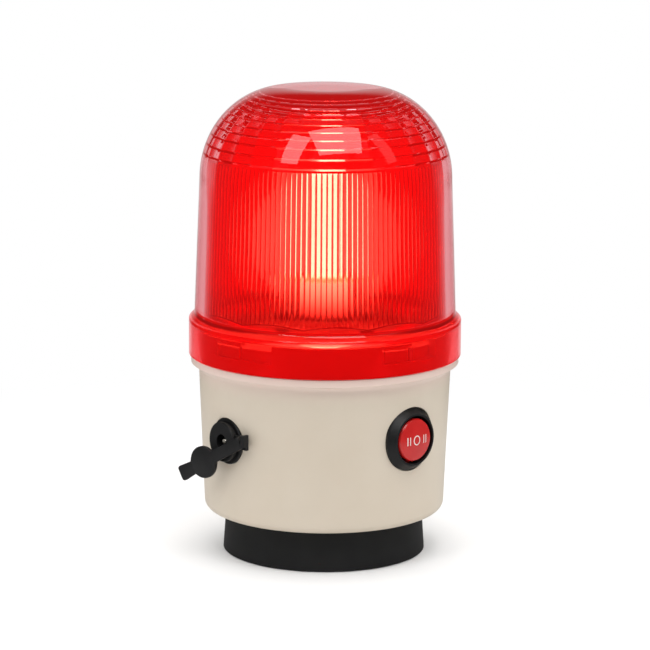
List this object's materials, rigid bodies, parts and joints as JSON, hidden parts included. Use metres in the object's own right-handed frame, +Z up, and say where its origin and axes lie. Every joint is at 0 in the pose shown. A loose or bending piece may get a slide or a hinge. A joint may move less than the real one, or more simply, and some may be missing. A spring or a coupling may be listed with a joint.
{
  "type": "magnetic warning beacon",
  "caption": "Rechargeable rotating warning beacon: ribbed red dome lens with a twist lock on a round cream housing, with a rocker switch, a capped charging socket and a magnet foot.",
  "frame": {"origin": "centre of the magnet foot's lower face, on the surface that the beacon stands on", "axes": "+Z up along the axis of the lens and the foot, -Y towards the front between the charging socket and the switch, +X to the right seen from the front"},
  "size_m": [0.1033, 0.1, 0.1713],
  "materials": {
    "rubber": "moulded black rubber, matt",
    "housing_plastic": "injection moulded cream ABS, satin",
    "lens_plastic": "moulded pale red clear polycarbonate, polished",
    "filter_plastic": "moulded deep red polycarbonate, polished",
    "white_plastic": "moulded white plastic",
    "black_plastic": "moulded black nylon",
    "red_plastic": "moulded red polycarbonate, gloss",
    "steel": "plated steel",
    "aluminium": "turned aluminium",
    "ferrite": "sintered ferrite",
    "brass": "drawn brass",
    "bronze": "sintered bronze",
    "copper": "enamelled copper and steel laminations",
    "chrome": "vacuum metallised",
    "glass": "clear blown glass",
    "board": "green solder mask",
    "cell_sleeve": "blue heat-shrunk sleeve",
    "phenolic": "pressed phenolic board",
    "lead_red": "red PVC",
    "lead_black": "black PVC"
  },
  "bodies": {
    "root": {"magnet_boot": "rubber", "magnet_ring": "ferrite", "magnet_pot": "steel", "magnet_screws": "steel", "base_housing": "housing_plastic", "lens_gasket": "rubber", "chassis_deck": "white_plastic", "deck_screws": "steel", "lamp_post": "aluminium", "post_screws": "steel", "lamp_contact": "brass", "contact_carrier": "phenolic", "bulb_cap": "brass", "bulb_glass": "glass", "bulb_stem": "glass", "bulb_filament": "steel", "bearing_bush": "bronze", "thrust_washer": "white_plastic", "retaining_ring": "steel", "motor_can": "steel", "motor_magnet": "ferrite", "motor_end_cap": "white_plastic", "motor_terminals": "brass", "motor_bearing": "bronze", "motor_screws": "steel", "battery_tray": "black_plastic", "tray_screws": "steel", "battery_cells": "cell_sleeve", "cell_contacts": "steel", "circuit_board": "board", "board_screws": "steel", "board_connector": "white_plastic", "board_chip": "black_plastic", "board_capacitor": "cell_sleeve", "board_coil": "ferrite", "board_transistor": "black_plastic", "switch_body": "black_plastic", "switch_terminals": "brass", "jack_body": "black_plastic", "jack_pin": "brass", "jack_nut": "steel", "jack_terminals": "brass", "cap_ring": "rubber", "battery_leads": "lead_red", "jack_leads": "lead_black", "switch_leads": "lead_red", "motor_leads": "lead_black", "lamp_leads": "lead_red"},
    "lens": {"lens": "lens_plastic", "red_filter": "filter_plastic"},
    "turntable": {"reflector_gear": "white_plastic", "reflector": "chrome", "reflector_screws": "steel"},
    "motor_drive": {"motor_shaft": "steel", "motor_rotor": "copper", "drive_pinion": "white_plastic"},
    "rocker": {"switch_rocker": "red_plastic"},
    "cap": {"jack_cap": "rubber"}
  },
  "joints": [
    {"name": "lens_twist", "type": "hinge", "parent": "root", "child": "lens", "pos_m": [0, 0, 0.08], "axis": [0, 0, 1], "range_deg": [0, 15]},
    {"name": "reflector_spin", "type": "hinge", "parent": "root", "child": "turntable", "pos_m": [0, 0, 0.0823], "axis": [0, 0, 1], "continuous": true},
    {"name": "motor_spin", "type": "hinge", "parent": "root", "child": "motor_drive", "pos_m": [0, 0.027, 0.0823], "axis": [0, 0, 1], "continuous": true},
    {"name": "switch_rock", "type": "hinge", "parent": "root", "child": "rocker", "pos_m": [0.0295, -0.03142, 0.0484], "axis": [0, 0, 1], "range_deg": [-10, 10]},
    {"name": "cap_swing", "type": "hinge", "parent": "root", "child": "cap", "pos_m": [-0.02922, -0.04023, 0.0487], "axis": [0, 0, 1], "range_deg": [0, 100], "stiffness_Nm_per_rad": 0.0004}
  ],
  "couplings": [
    {"joint": "motor_spin", "follows": "reflector_spin", "ratio": -2.8571}
  ]
}
